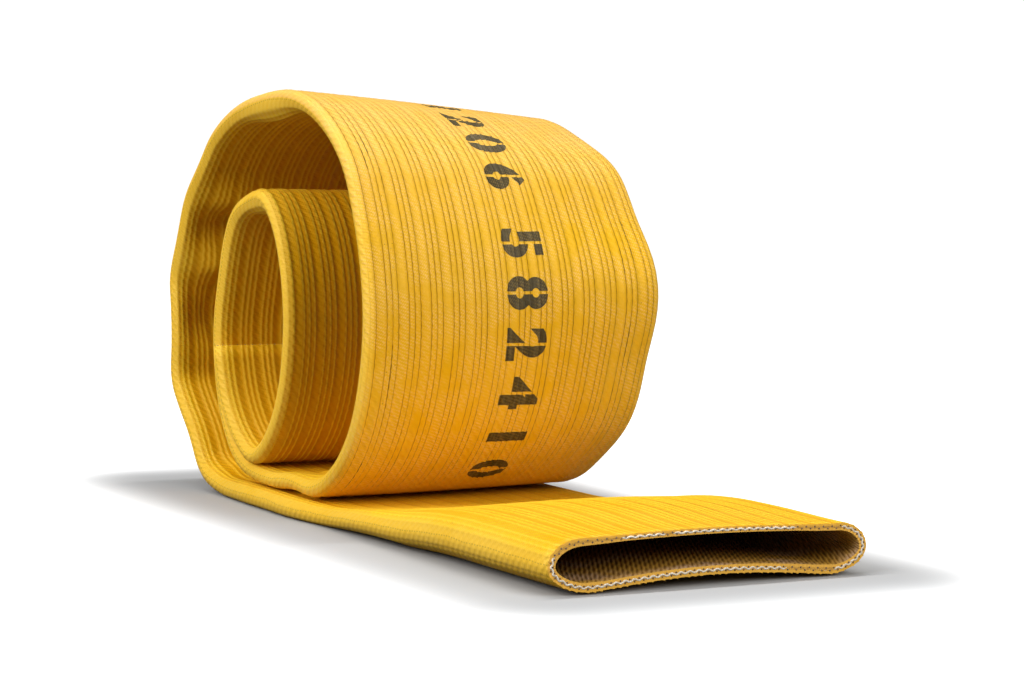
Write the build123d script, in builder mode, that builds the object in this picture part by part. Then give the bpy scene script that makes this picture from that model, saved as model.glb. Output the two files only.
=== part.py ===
from build123d import *
import math
import os

os.makedirs("parts", exist_ok=True)

# A length of lay-flat fire hose, loosely rolled and standing on its own tail. All sizes in mm.
# +X runs along the tail to the open mouth, Y across the flat hose, Z up from the floor.
# The origin lies on the floor below the middle of the bounding box.

# --- the hose wall, from outside to inside: cover, weft, warp, lining ---
flat_width = 108.0          # across the hose when it lies flat
cover_thickness = 1.1       # ribbed rubber cover
weft_thickness = 0.4        # yarn that runs round the hose
warp_thickness = 0.4        # yarns that run along the hose
lining_thickness = 0.85     # smooth rubber lining
bond_line = 0.02            # between two bonded layers
lay_flat_gap = 0.2          # between the two faces of the lining where the hose is flat

# --- the open mouth at the end of the tail ---
mouth_x = 141.5             # cut face of the mouth
mouth_width = 107.0
mouth_height = 15.6
open_length = 66.0          # the tail keeps the mouth's section over this length
swell_length = 66.0         # and swells from flat to open over this one
swell_steps = 5

# --- the roll ---
turn_gap = 0.3              # between two turns that lie on each other
arc_share = 0.45            # of the shorter run that an arc takes at each end

# --- worked out ---
layers = (
    ("outer_cover", cover_thickness),
    ("jacket_weft", weft_thickness),
    ("jacket_warp", warp_thickness),
    ("inner_lining", lining_thickness),
)
wall = sum(thickness for _, thickness in layers) + bond_line * (len(layers) - 1)
strip = 2 * wall + lay_flat_gap
turn = strip + turn_gap
first_level = strip / 2
second_level = first_level + turn
third_level = second_level + turn
flat_x = mouth_x - open_length - swell_length

# The middle of the flat hose as (x, z), from the tail to the cut end inside the roll.
route_points = [
    # along the floor, under the roll
    (flat_x, first_level),
    (-94.5, first_level),
    # up the slack back of the outer turn
    (-110.5, 6.5),
    (-119.0, 19.5),
    (-129.0, 29.0),
    (-136.5, 38.0),
    (-135.5, 52.0),
    (-136.5, 64.0),
    (-139.5, 77.0),
    (-132.0, 94.0),
    (-125.5, 107.0),
    (-113.5, 117.0),
    (-103.5, 127.5),
    # over the top
    (-83.5, 136.0),
    (-61.5, 139.2),
    (-39.5, 139.5),
    (-19.0, 132.5),
    # down the front
    (-1.0, 120.0),
    (8.0, 105.0),
    (15.0, 88.5),
    (18.5, 70.0),
    (16.0, 50.0),
    (8.5, 31.5),
    (-4.5, 17.5),
    # back along the top of the tail
    (-21.0, second_level),
    (-47.0, second_level),
    (-66.0, second_level + 0.6),
    # up the back of the inner loop
    (-81.0, 14.0),
    (-91.5, 26.0),
    (-97.5, 42.0),
    (-99.5, 60.0),
    (-95.5, 77.0),
    (-91.5, 91.0),
    (-86.0, 100.0),
    (-76.5, 104.5),
    # over its top and down its front
    (-64.5, 107.5),
    (-56.0, 102.0),
    (-48.5, 91.0),
    (-43.5, 75.0),
    (-42.5, 58.0),
    (-46.0, 39.0),
    (-54.5, 23.5),
    # round its bottom to the cut end
    (-66.0, third_level - 0.5),
    (-77.5, 21.5),
    (-85.5, 31.5),
    (-90.0, 43.0),
    (-92.0, 53.0),
]


def tangent_radii(points):
    """The radius at each corner whose arc takes the same share of the shorter run there."""
    radii = []
    for before, corner, after in zip(points, points[1:], points[2:]):
        run_in = Vector(*corner) - Vector(*before)
        run_out = Vector(*after) - Vector(*corner)
        half_turn = math.radians(run_in.get_angle(run_out)) / 2
        radii.append(arc_share * min(run_in.length, run_out.length) / math.tan(half_turn))
    return radii


def smooth_step(t):
    """0 to 1 with a level start and end."""
    return t * t * (3 - 2 * t)


def tail_sections():
    """(x, width, height) of the hose's outside from where it is flat to the mouth."""
    sections = []
    for step in range(swell_steps + 1):
        share = smooth_step(step / swell_steps)
        width = flat_width + (mouth_width - flat_width) * share
        height = strip + (mouth_height - strip) * share
        sections.append((flat_x + swell_length * step / swell_steps, width, height))
    sections.append((mouth_x, mouth_width, mouth_height))
    return sections


def across(x, z, facing):
    """The plane across the hose at x, centred at height z, with its own x along Y."""
    return Plane(origin=(x, 0, z), x_dir=(0, 1, 0), z_dir=(facing, 0, 0))


def hose_layer(label, outside, inside):
    """One tube of the wall, between two depths below the hose's outer surface."""
    with BuildPart() as layer:
        # the tail, swelling from flat to the open mouth
        for depth, mode in ((outside, Mode.ADD), (inside, Mode.SUBTRACT)):
            for x, width, height in tail_sections():
                with BuildSketch(across(x, height / 2, 1)):
                    SlotOverall(width - 2 * depth, height - 2 * depth)
            loft(ruled=True, mode=mode)
        # the flat hose, from under the roll to its cut end
        with BuildSketch(across(flat_x, first_level, -1)):
            SlotOverall(flat_width - 2 * outside, strip - 2 * outside)
            SlotOverall(flat_width - 2 * inside, strip - 2 * inside, mode=Mode.SUBTRACT)
        sweep(path=route)
    layer.part.label = label
    export_step(layer.part, f"parts/{label}.step")
    return layer.part


route_radii = tangent_radii(route_points)
with BuildLine(Plane.XZ) as route_line:
    FilletPolyline(*route_points, radius=route_radii)
route = route_line.wire()

print("strip", round(strip, 2), "wall", round(wall, 2))
print("route radii", [round(radius, 1) for radius in route_radii])
print("hose length", round(route.length + open_length + swell_length, 1))

depth = 0.0
for label, thickness in layers:
    part = hose_layer(label, depth, depth + thickness)
    depth += thickness + bond_line
    print(label, round(part.volume / 1000, 1), "cm3", part.bounding_box())
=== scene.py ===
# %% [markdown]
# # A rolled fire hose
#
# A lay-flat fire hose is one long rubber tube with a woven jacket inside its wall. Empty, it
# collapses into a flat double strip. This one is rolled up loosely and stands on its own tail,
# and the tail opens into a round-cornered mouth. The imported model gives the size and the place
# of everything, so it is loaded first and never changed.

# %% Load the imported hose
import math
from functools import partial

import bmesh
import bpy
import numpy as np
from mathutils import Matrix, Vector


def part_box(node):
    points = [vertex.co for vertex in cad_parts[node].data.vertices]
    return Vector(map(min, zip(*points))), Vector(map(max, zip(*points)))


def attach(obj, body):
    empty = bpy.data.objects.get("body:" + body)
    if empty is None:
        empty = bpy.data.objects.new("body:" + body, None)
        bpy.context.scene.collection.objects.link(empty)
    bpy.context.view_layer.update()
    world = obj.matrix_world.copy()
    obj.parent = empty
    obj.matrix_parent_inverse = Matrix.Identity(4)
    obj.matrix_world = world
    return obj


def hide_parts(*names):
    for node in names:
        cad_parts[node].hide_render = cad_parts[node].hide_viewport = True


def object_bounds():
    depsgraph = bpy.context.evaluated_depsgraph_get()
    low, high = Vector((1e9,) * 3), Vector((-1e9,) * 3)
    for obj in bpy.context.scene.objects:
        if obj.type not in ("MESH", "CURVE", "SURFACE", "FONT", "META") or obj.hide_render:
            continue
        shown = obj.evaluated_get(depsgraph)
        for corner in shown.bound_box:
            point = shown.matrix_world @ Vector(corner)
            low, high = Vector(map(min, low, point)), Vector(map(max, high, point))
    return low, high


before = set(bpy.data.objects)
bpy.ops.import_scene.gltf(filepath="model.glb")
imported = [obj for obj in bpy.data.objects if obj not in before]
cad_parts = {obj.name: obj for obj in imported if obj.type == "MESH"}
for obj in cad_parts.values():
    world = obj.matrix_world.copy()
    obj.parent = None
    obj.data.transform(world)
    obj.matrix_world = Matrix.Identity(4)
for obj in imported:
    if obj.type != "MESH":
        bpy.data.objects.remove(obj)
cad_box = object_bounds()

scene = bpy.context.scene

# %% [markdown]
# ## The camera
#
# A long lens, about 88 mm on a 36 mm wide sensor, looks at the hose from low down in front of the
# mouth. A shorter one would have to stand closer, and the near end would look swollen. The
# camera's matrix is built from a place and three angles, in the order that is easiest to picture:
# turn round, tilt down, then roll a little.

# %% Camera
camera_place = Vector((0.7342, -0.4044, 0.1169))
camera_turn = math.radians(60.4)
camera_tilt = math.radians(3.81)
camera_roll = math.radians(1.11)
sensor_width, lens_length = 36, 88.2

camera_data = bpy.data.cameras.new("camera")
camera_data.sensor_width = sensor_width
camera_data.lens = lens_length
camera = bpy.data.objects.new("camera", camera_data)
scene.collection.objects.link(camera)
camera.matrix_world = (
    Matrix.Translation(camera_place)
    @ Matrix.Rotation(camera_turn, 4, "Z")
    @ Matrix.Rotation(math.pi / 2 - camera_tilt, 4, "X")
    @ Matrix.Rotation(camera_roll, 4, "Z")
)
scene.camera = camera
print("camera stands", round(camera_place.length, 3), "m from the origin")

# %% [markdown]
# ## The sizes of the hose
#
# The flat width and the mouth come from the frame's boxes, and so does the depth of each layer
# below the outside: half of what its box is narrower than the cover's. The boxes don't show how
# thick the whole wall is, so that is given here.

# %% Hose sizes
cover_low, cover_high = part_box("outer_cover")
flat_width = cover_high.y - cover_low.y
mouth_x = cover_high.x


def depth_of(node):
    """How far a layer's outer face lies below the outside of the hose."""
    low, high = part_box(node)
    return (flat_width - (high.y - low.y)) / 2


weft_depth = depth_of("jacket_weft")
warp_depth = depth_of("jacket_warp")
lining_depth = depth_of("inner_lining")
wall = 0.00281
bond_line = 0.00002
lay_flat_gap = 0.0002
flat_height = 2 * wall + lay_flat_gap
print("flat width", round(flat_width * 1000, 1), "mm, layers at",
      [round(depth * 1000, 2) for depth in (weft_depth, warp_depth, lining_depth)], "mm")

# %% [markdown]
# ## The way the hose lies
#
# The route is the middle of the flat strip, as (x, z) in metres: from the mouth along the
# floor, up the slack back of the outer turn, over the top, down the front, back along the top of
# the tail, and round the inner loop to its cut end. A NURBS spline of order 3 takes these as
# control points, so the hose bends smoothly between them. The order is set after the points are
# there, because a spline with too few points falls back to straight runs.

# %% Route points
tail_points = [
    (mouth_x, 0.0087),
    (0.1085, 0.0086),
    (0.0755, 0.0087),
    (0.0425, 0.0061),
    (0.0095, 0.00291),
    (-0.0340, 0.00291),
    (-0.0775, 0.00291),
    (-0.0945, 0.00291),
]
back_points = [
    (-0.1105, 0.0069),
    (-0.1190, 0.02045),
    (-0.1290, 0.02995),
    (-0.1365, 0.03895),
    (-0.1355, 0.05295),
    (-0.1365, 0.06495),
    (-0.1395, 0.07795),
    (-0.1320, 0.09495),
    (-0.1255, 0.10795),
    (-0.1135, 0.11795),
    (-0.1035, 0.12845),
]
top_points = [
    (-0.0835, 0.13695),
    (-0.0615, 0.14015),
    (-0.0395, 0.14045),
    (-0.0190, 0.13345),
]
front_points = [
    (-0.0010, 0.12095),
    (0.0080, 0.10595),
    (0.0150, 0.08945),
    (0.0185, 0.07095),
    (0.0160, 0.05095),
    (0.0085, 0.03245),
    (-0.0045, 0.01845),
]
under_points = [
    (-0.0210, 0.00998),
    (-0.0470, 0.00998),
    (-0.0660, 0.01058),
]
loop_points = [
    (-0.0810, 0.01495),
    (-0.0915, 0.02695),
    (-0.0975, 0.04295),
    (-0.0995, 0.06095),
    (-0.0955, 0.07795),
    (-0.0915, 0.09195),
    (-0.0860, 0.10095),
    (-0.0765, 0.10545),
    (-0.0645, 0.10845),
    (-0.0560, 0.10295),
    (-0.0485, 0.09195),
    (-0.0435, 0.07595),
    (-0.0425, 0.05895),
    (-0.0460, 0.03995),
    (-0.0545, 0.02445),
]
end_points = [
    (-0.0660, 0.0156),
    (-0.0775, 0.02245),
    (-0.0855, 0.03245),
    (-0.0900, 0.04395),
    (-0.0920, 0.05395),
]
route_points = (
    tail_points + back_points + top_points + front_points
    + under_points + loop_points + end_points
)
print("route of", len(route_points), "points")

# %% [markdown]
# The spline is turned into a bare line of mesh points, without any bevel, and everything on the
# hose reads its place from that line: how far along it is, and which way is outwards there.

# %% Line along the hose
points_per_span = 24


def mesh_of(curve):
    """The mesh of a curve or a text. The curve itself is removed."""
    holder = bpy.data.objects.new(curve.name, curve)
    scene.collection.objects.link(holder)
    mesh = bpy.data.meshes.new_from_object(holder)
    bpy.data.objects.remove(holder)
    bpy.data.curves.remove(curve)
    return mesh


def line_through(places):
    """The points of a smooth NURBS line that has these (x, z) places as its control points."""
    curve = bpy.data.curves.new("hose_route", "CURVE")
    curve.dimensions = "3D"
    curve.resolution_u = points_per_span
    spline = curve.splines.new("NURBS")
    spline.points.add(len(places) - 1)
    for point, (x, z) in zip(spline.points, places):
        point.co = (x, 0, z, 1)
    spline.order_u = 3
    spline.use_endpoint_u = True
    mesh = mesh_of(curve)
    line = np.array([vertex.co for vertex in mesh.vertices])
    bpy.data.meshes.remove(mesh)
    return line


line = line_through(route_points)
line_steps = np.linalg.norm(np.diff(line, axis=0), axis=1)
line_along = np.concatenate([[0.0], np.cumsum(line_steps)])
hose_length = line_along[-1]
line_ahead = np.gradient(line, line_along, axis=0)
line_ahead /= np.linalg.norm(line_ahead, axis=1)[:, None]
line_outward = np.stack([-line_ahead[:, 2], line_ahead[:, 0]], axis=1)
print("hose length", round(hose_length * 1000), "mm")


def read_line(values, along):
    """The columns of values at these distances along the hose."""
    return np.stack([np.interp(along, line_along, column) for column in values.T], axis=-1)


# %% [markdown]
# ## The section of the hose
#
# Flat, the hose's outline is two straight sides joined by tight half circles. Towards the mouth
# it swells: the ends become tall half ellipses and the middle bows up a little off the floor.
# One family of outlines covers both, so the tail changes shape without a seam. The upper wall has
# also been pulled thinner at the mouth, which fades out a short way in.

# %% Sizes of the mouth
mouth_half_width = 0.0553
mouth_half_height = 0.0079
# how long the rounded ends are at the lower and at the upper wall
mouth_near_ends, mouth_far_ends = (0.0176, 0.0130), (0.0150, 0.0110)
# how much the half height grows towards the far end, and towards both ends
mouth_lean, mouth_pinch = -0.0002, 0.0007
# how far the middle bows up, half the width it does that over, and how it fades across and along
mouth_bow, bow_half_width = 0.0023, 0.0440
bow_fade_across, bow_fade_along = 1.3, 3
# where along the hose the swelling begins to fall, and where it has gone
swell_from, swell_to = 0.045, 0.150
# how much thinner the upper wall is stretched, how far in, and how evenly over its width
stretched, stretched_to, stretched_evenly = 0.32, 0.040, 1.4


def smooth_step(share):
    """0 to 1 with a level start and end."""
    share = np.clip(share, 0, 1)
    return share * share * (3 - 2 * share)


def open_share(along):
    """1 at the open mouth, 0 where the hose lies flat."""
    return 1 - smooth_step((along - swell_from) / (swell_to - swell_from))


print("the hose lies flat", round(swell_to * 1000), "mm from its mouth")

# %% Section outline
outline_steps = 120


def outline(along):
    """The outline as one closed loop: the outer side from near to far fold, then the inner."""
    share = open_share(along)
    half_width = flat_width / 2 + (mouth_half_width - flat_width / 2) * share
    turn = np.linspace(0, 2 * math.pi, 2 * outline_steps + 1)[:-1]
    across = -half_width * np.cos(turn)
    side = across / half_width
    lower = turn < math.pi
    end_length = np.where(
        across < 0, np.where(lower, *mouth_near_ends), np.where(lower, *mouth_far_ends)
    )
    end_length = flat_height / 2 + (end_length - flat_height / 2) * share
    mouth_half = mouth_half_height + mouth_lean * side + mouth_pinch * side**2
    half_height = flat_height / 2 + (mouth_half - flat_height / 2) * share
    into_end = np.clip((np.abs(across) - half_width + end_length) / end_length, 0, 1)
    height = half_height * np.sqrt(1 - into_end**2) * np.sign(np.sin(turn).round(9))
    bowed = np.clip(1 - (across / bow_half_width) ** 2, 0, 1) ** bow_fade_across
    bow = mouth_bow * share**bow_fade_along * bowed
    return across, height - bow


def outline_rows(along):
    """The loop's across and out, the way its surface faces, and how far round each point is."""
    across, out = outline(along)
    across_step = np.roll(across, -1) - np.roll(across, 1)
    out_step = np.roll(out, -1) - np.roll(out, 1)
    size = np.hypot(across_step, out_step)
    rows = [across, out, -out_step / size, across_step / size]
    rows = [np.append(row, row[0]) for row in rows]
    steps = np.hypot(np.diff(rows[0]), np.diff(rows[1]))
    walked = np.concatenate([[0.0], np.cumsum(steps)])
    outer_end = walked[outline_steps]
    inner_part = 1 + (walked - outer_end) / (walked[-1] - outer_end)
    walked = np.where(walked <= outer_end, walked / outer_end, inner_part)
    return walked, rows


mouth_size = [float(np.ptp(measure).round(4)) for measure in outline(0.0)]
print("mouth", mouth_size[0], "by", mouth_size[1], "m")

# %% [markdown]
# The cover has 28 groups of three ribs round it, moulded along the whole hose. Each rib rises
# gently on one side and drops steeply on the other, like a saw's tooth, which is why it shows as
# one thin dark line in the light and as one bright line in the shade. The columns of the cover's
# mesh follow the ribs: one at each foot, one at each crest, one between the groups.

# %% Ribs round the hose
half_round = flat_width - flat_height + math.pi * flat_height / 2
group_count, ribs_per_group = 28, 3
group_pitch = 2 * half_round / group_count
rib_pitch = 0.00207
first_rib = 0.00856
rib_height = 0.00026
gentle_side = 0.00095
steep_side = 0.00022
before_group = 0.0012
fold_reach, rib_left_at_fold = 0.0052, 0.15


def round_columns():
    """Places round the hose where the cover's mesh has a column, and how much rib each has."""
    columns = []
    for group in range(group_count):
        start = first_rib + group * group_pitch
        for rib in range(ribs_per_group):
            crest = start + rib * rib_pitch
            columns += [(crest - gentle_side, 0.0), (crest, 1.0), (crest + steep_side, 0.0)]
        columns.append((start - gentle_side - before_group, 0.0))
    wrapped = sorted((place % (2 * half_round), rib) for place, rib in columns)
    return np.array(wrapped)


def fold_distance(around):
    """How far a place round the hose is from the nearer fold."""
    return np.abs((around + half_round / 2) % half_round - half_round / 2)


cover_columns = round_columns()
clear_of_fold = smooth_step(fold_distance(cover_columns[:, 0]) / fold_reach)
rib_share = cover_columns[:, 1] * (rib_left_at_fold + (1 - rib_left_at_fold) * clear_of_fold)
print(len(cover_columns), "columns, groups every", round(group_pitch * 1000, 2), "mm")

# %% [markdown]
# ## Slack, bulges and creases
#
# Nothing about a used hose is straight. Each bulge below moves a stretch of it outwards by three
# amounts, at its near edge, its middle and its far edge, and a parabola through the three gives
# the rest. A puff does the same to the thickness. A crease moves one spot of the flat strip, and a
# pucker only its inner wall, where a bend leaves it too much length.

# %% Bulges, creases and puckers
# middle of the stretch, reach, then how far out the near edge, the middle and the far edge go
bulges = [
    (0.552, 0.085, -0.0035, 0.0000, 0.0005),
    (0.549, 0.028, 0.0000, 0.0000, 0.0055),
    (0.460, 0.085, 0.0012, -0.0022, -0.0064),
    (0.350, 0.060, -0.0009, 0.0000, 0.0000),
    (0.618, 0.032, 0.0000, 0.0000, -0.0034),
    (0.665, 0.032, -0.0005, -0.0002, 0.0000),
    (0.480, 0.032, 0.0000, 0.0000, -0.0018),
    (0.346, 0.020, -0.0008, 0.0000, 0.0000),
    (0.125, 0.034, -0.0013, -0.0003, 0.0000),
]
# the same, for how much thicker the slack hose stands
puffs = [
    (0.195, 0.090, 0.0014, 0.0008, 0.0000),
    (0.000, 0.040, -0.0003, -0.0018, -0.0004),
]
# middle, reach, and how far the near edge sways towards +Y
sways = [
    (0.196, 0.050, -0.0024),
    (0.172, 0.024, -0.0014),
    (0.125, 0.060, -0.0010),
]
# along, reach along, across, reach across, how far out
creases = [
    (0.338, 0.014, -0.034, 0.022, -0.0066),
    (0.316, 0.015, -0.034, 0.022, 0.0056),
    (0.368, 0.013, -0.034, 0.022, -0.0056),
    (0.353, 0.009, -0.034, 0.020, 0.0030),
    (0.650, 0.016, -0.054, 0.022, -0.0015),
]
# past this place across, a crease runs out this many times more slowly
crease_middle, crease_run_out = -0.034, 3.0
# along, reach along, distance from the near fold, reach across, how far in
puckers = [
    (0.438, 0.032, 0.0085, 0.0085, 0.0040),
    (0.636, 0.016, 0.0140, 0.0120, 0.0036),
    (0.806, 0.014, 0.0095, 0.0090, 0.0034),
    (0.246, 0.013, 0.0160, 0.0140, 0.0018),
]
print(len(bulges), "bulges,", len(creases), "creases and", len(puckers), "puckers")


# %% How they are read
def hump(distance, reach):
    """1 at no distance, falling smoothly to 0 at reach."""
    return 0.5 + 0.5 * np.cos(math.pi * np.clip(distance / reach, -1, 1))


def spread(rows, along, across):
    """The sum of the rows at these places: a hump along, and a parabola across."""
    side = across / (flat_width / 2)
    total = np.zeros_like(across)
    for place, reach, near, middle, far in rows:
        shape = middle + (far - near) / 2 * side + ((far + near) / 2 - middle) * side**2
        total += hump(along - place, reach) * shape
    return total


def sway(along, across):
    """How far the near edge of the tail strays sideways."""
    near = np.clip(-across / (flat_width / 2), 0, 1) ** 2
    return sum(hump(along - place, reach) * shift for place, reach, shift in sways) * near


def spots(rows, along, other):
    """The sum of the rows at these places: a hump along, times a hump the other way."""
    return sum(
        lift * hump(along - place, reach) * hump(other - spot, width)
        for place, reach, spot, width, lift in rows
    )


sampled = np.linspace(0, hose_length, 200)
near_moves = spread(bulges, sampled, np.full_like(sampled, -flat_width / 2))
print("bulges move the near edge by", near_moves.min().round(4), "m to",
      near_moves.max().round(4), "m")

# %% [markdown]
# The roll's axis stands a little askew to the tail, as it does when a hose is rolled by hand, and
# the cut end has slid a few millimetres out of the roll. All of it comes together in one function:
# it takes a distance along the hose, a distance around it and a depth below its outside, and gives
# the place in the room.

# %% From the hose's own measures to a place in the room
skew = 0.033
skew_centre = -0.0655
skew_from, skew_to = 0.150, 0.270
slide = -0.003
slide_from = 0.880


def askew(places, along):
    """Turns the rolled part a little about the vertical, and slides the cut end out."""
    share = skew * smooth_step((along - skew_from) / (skew_to - skew_from))
    drift = slide * smooth_step((along - slide_from) / (hose_length - slide_from))
    x, y, z = places.T
    return np.stack([x - share * y, y + share * (x - skew_centre) + drift, z], axis=-1)


def section_places(along, around, depth):
    """Across and out, in the hose's section, of points at these depths below its outside."""
    across, out = np.zeros_like(along), np.zeros_like(along)
    for station in np.unique(along):
        here = along == station
        walked, rows = outline_rows(max(station, 0.0))
        place = (around[here] / half_round) % 2
        side, level, facing_side, facing_out = (np.interp(place, walked, row) for row in rows)
        upper = np.clip(stretched_evenly * np.sin(math.pi * (place - 1)), 0, 1)
        thinned = 1 - stretched * upper * (1 - smooth_step(station / stretched_to))
        deep = depth[here] * thinned / np.hypot(facing_side, facing_out)
        across[here] = side - deep * facing_side
        out[here] = level - deep * facing_out
    return across, out


def hose_places(along, around, depth):
    """Places in the room for distances along and around the hose, at depths below its outside."""
    rows = np.broadcast_arrays(along, around, depth)
    along, around, depth = (np.array(row, float) for row in rows)
    inner_lift = spots(puckers, along, 2 * half_round - around % (2 * half_round))
    across, out = section_places(along, around, depth - inner_lift)
    inner_share = 0.5 - 0.5 * np.clip(out / (flat_height / 2), -1, 1)
    out += spread(bulges, along, across) - inner_share * spread(puffs, along, across)
    past_middle = np.maximum(across - crease_middle, 0)
    out += spots(creases, along, across - past_middle * (1 - 1 / crease_run_out))
    across += sway(along, across)
    centre = read_line(line, along)
    outward = read_line(line_outward, along)
    past_end = along - np.clip(along, 0, hose_length)
    overhang = past_end[:, None] * read_line(line_ahead, along)
    x = centre[:, 0] + outward[:, 0] * out
    z = centre[:, 2] + outward[:, 1] * out
    return askew(np.stack([x, across, z], axis=-1) + overhang, along)


print("mouth's near corner at", hose_places([0.0], [0.0], [0.0]).round(4)[0])

# %% [markdown]
# The rings of the mesh stand closer together where the hose bends more, so a tight bend stays
# round and a straight run costs little.

# %% Rings along the hose
line_bend = np.linalg.norm(np.gradient(line_ahead, line_along, axis=0), axis=1)
coarse_step, fine_step = 0.0046, 0.0019
turn_per_ring = math.radians(3.6)
straightest = 1e-6
ring_count = 280


def rings_along(count):
    """This many distances along the hose, denser where it bends."""
    step = np.clip(turn_per_ring / np.maximum(line_bend, straightest), fine_step, coarse_step)
    density = np.concatenate([[0.0], np.cumsum(line_steps / (step[:-1] + step[1:]) * 2)])
    return np.interp(np.linspace(0, density[-1], count), density, line_along)


rings = rings_along(ring_count)
print("ring steps from", (np.diff(rings).min() * 1000).round(2),
      "to", (np.diff(rings).max() * 1000).round(2), "mm")

# %% [markdown]
# ## Building a layer
#
# Each layer of the wall is a closed tube: an outer sheet, an inner sheet, and a cut face at each
# end. A sheet starts as a flat grid, which is then wrapped round the hose by moving its vertices,
# because that keeps the quads in even rows. The rows turn in at the cut ends, so the cut faces are
# part of the grid, and the borders that meet are merged. Every vertex remembers how far along and
# around it is, and that becomes the UV map, so a pattern follows the hose through every bend.

# %% Sheets
touching = 1e-6


def new_bmesh():
    """An empty bmesh that remembers each vertex's place on the hose."""
    bm = bmesh.new()
    bm.verts.layers.float.new("along")
    bm.verts.layers.float.new("around")
    bm.loops.layers.uv.new("hose_map")
    return bm


def place_verts(bm, verts, along, around, depth):
    """Moves vertices to their places on the hose, and notes those places on them."""
    along_layer = bm.verts.layers.float["along"]
    around_layer = bm.verts.layers.float["around"]
    places = hose_places(along, around, depth)
    for vert, place, far, turned in zip(verts, places, along, around):
        vert.co = place
        vert[along_layer] = far
        vert[around_layer] = turned


def wrap_grid(bm, rows):
    """A grid wrapped round the hose, one row for each (along, around, depth)."""
    columns = len(rows[0][1])
    grid = bmesh.ops.create_grid(bm, x_segments=columns, y_segments=len(rows) - 1, size=0.5)
    along = np.repeat([row[0] for row in rows], columns + 1)
    around = np.concatenate([np.append(row[1], row[1][0] + 2 * half_round) for row in rows])
    depth = np.concatenate([np.append(row[2], row[2][0]) for row in rows])
    place_verts(bm, grid["verts"], along, around, depth)


def close_seams(bm):
    """Merges the border vertices that lie on each other, which closes every seam."""
    border = [vert for vert in bm.verts if vert.is_boundary]
    bmesh.ops.remove_doubles(bm, verts=border, dist=touching)


# %% Shading, map and piece
def shade_and_map(bm):
    """Smooth shading but for the cut faces, and the UV map: along the hose, and around it."""
    along_layer = bm.verts.layers.float["along"]
    around_layer = bm.verts.layers.float["around"]
    uv_layer = bm.loops.layers.uv["hose_map"]
    for face in bm.faces:
        along = [vert[along_layer] for vert in face.verts]
        face.smooth = bool(max(along) > touching and min(along) < hose_length - touching)
        turned = [loop.vert[around_layer] % (2 * half_round) for loop in face.loops]
        over_seam = max(turned) - min(turned) > half_round
        for loop, around in zip(face.loops, turned):
            wrapped = around + 2 * half_round if over_seam and around < half_round else around
            loop[uv_layer].uv = (loop.vert[along_layer], wrapped)


def finished_piece(bm, name, material):
    """Makes the bmesh an object of the scene that rides on the hose's one body."""
    bmesh.ops.recalc_face_normals(bm, faces=bm.faces[:])
    mesh = bpy.data.meshes.new(name)
    bm.to_mesh(mesh)
    bm.free()
    mesh.materials.append(material)
    piece = bpy.data.objects.new(name, mesh)
    scene.collection.objects.link(piece)
    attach(piece, "root")
    triangles = sum(len(polygon.vertices) - 2 for polygon in mesh.polygons)
    print(name, "has", triangles, "triangles")
    return piece


# %% [markdown]
# The layers under the cover are smooth, so they need far fewer columns, but as many at the two
# folds as keep the turn round.

# %% Columns of the smooth sheets
fold_columns, side_columns = 18, 12
fold_zone = 0.0140


def smooth_columns():
    """Places round the hose for a smooth sheet, close together at the folds."""
    near_fold = np.linspace(-fold_zone, fold_zone, fold_columns + 1)[:-1]
    side = np.linspace(fold_zone, half_round - fold_zone, side_columns + 1)[:-1]
    half = np.concatenate([near_fold, side])
    return np.sort(np.concatenate([half, half + half_round]) % (2 * half_round))


layer_columns = smooth_columns()
print(len(layer_columns), "columns in a smooth sheet")

# %% [markdown]
# A smooth layer is one grid that runs out along the hose, turns in at the cut end, and comes back
# inside itself. The cover's ribbed grid turns in at both ends, and there its last row gathers to
# the fewer columns of the smooth sheet that lies on the weft.

# %% Tubes
end_band = 0.0008


def even(columns, depth):
    """One depth for every column."""
    return np.full(len(columns), depth)


def smooth_tube(outer_depth, inner_depth):
    """A smooth layer of the wall, from one cut end to the other."""
    bm = new_bmesh()
    outer, inner = even(layer_columns, outer_depth), even(layer_columns, inner_depth)
    rows = [(station, layer_columns, outer) for station in rings]
    rows += [(station, layer_columns, inner) for station in rings[::-1]]
    wrap_grid(bm, rows + rows[:1])
    close_seams(bm)
    shade_and_map(bm)
    return bm


def ribbed_tube():
    """The cover, ribbed on the outside and smooth where it lies on the weft."""
    bm = new_bmesh()
    columns = cover_columns[:, 0]
    apart = (columns[:, None] - layer_columns + half_round) % (2 * half_round) - half_round
    gathered = layer_columns[np.abs(apart).argmin(axis=1)]
    ribbed = rib_height * (1 - rib_share)
    inner = even(columns, weft_depth - bond_line)
    rows = [(station, columns, ribbed) for station in rings]
    rows = [(0.0, columns, inner), *rows, (hose_length, columns, inner)]
    rows = [(end_band, gathered, inner), *rows, (hose_length - end_band, gathered, inner)]
    wrap_grid(bm, rows)
    lying = [end_band, *rings[1:-1], hose_length - end_band]
    wrap_grid(bm, [(station, layer_columns, inner[: len(layer_columns)]) for station in lying])
    close_seams(bm)
    shade_and_map(bm)
    return bm


print("the cover's ribbed sheet turns in", end_band * 1000, "mm at each cut")

# %% [markdown]
# ## Materials
#
# A few short helpers keep the node trees readable: one adds a node and feeds its inputs, one
# does sums, and others make the masks, noise and mixes that every finish here is built from. The
# patterns on the hose read the UV map that was written above, so they are in metres along and
# around the hose. What several materials share is a node group with named sockets.

# %% Node helpers
def add_node(tree, kind, inputs=None, **settings):
    """Adds a node, with its settings, and gives its inputs a value or a link."""
    node = tree.nodes.new(kind)
    for name, value in settings.items():
        setattr(node, name, value)
    for key, value in (inputs or {}).items():
        if isinstance(value, bpy.types.NodeSocket):
            tree.links.new(value, node.inputs[key])
        else:
            node.inputs[key].default_value = value
    return node


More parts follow.
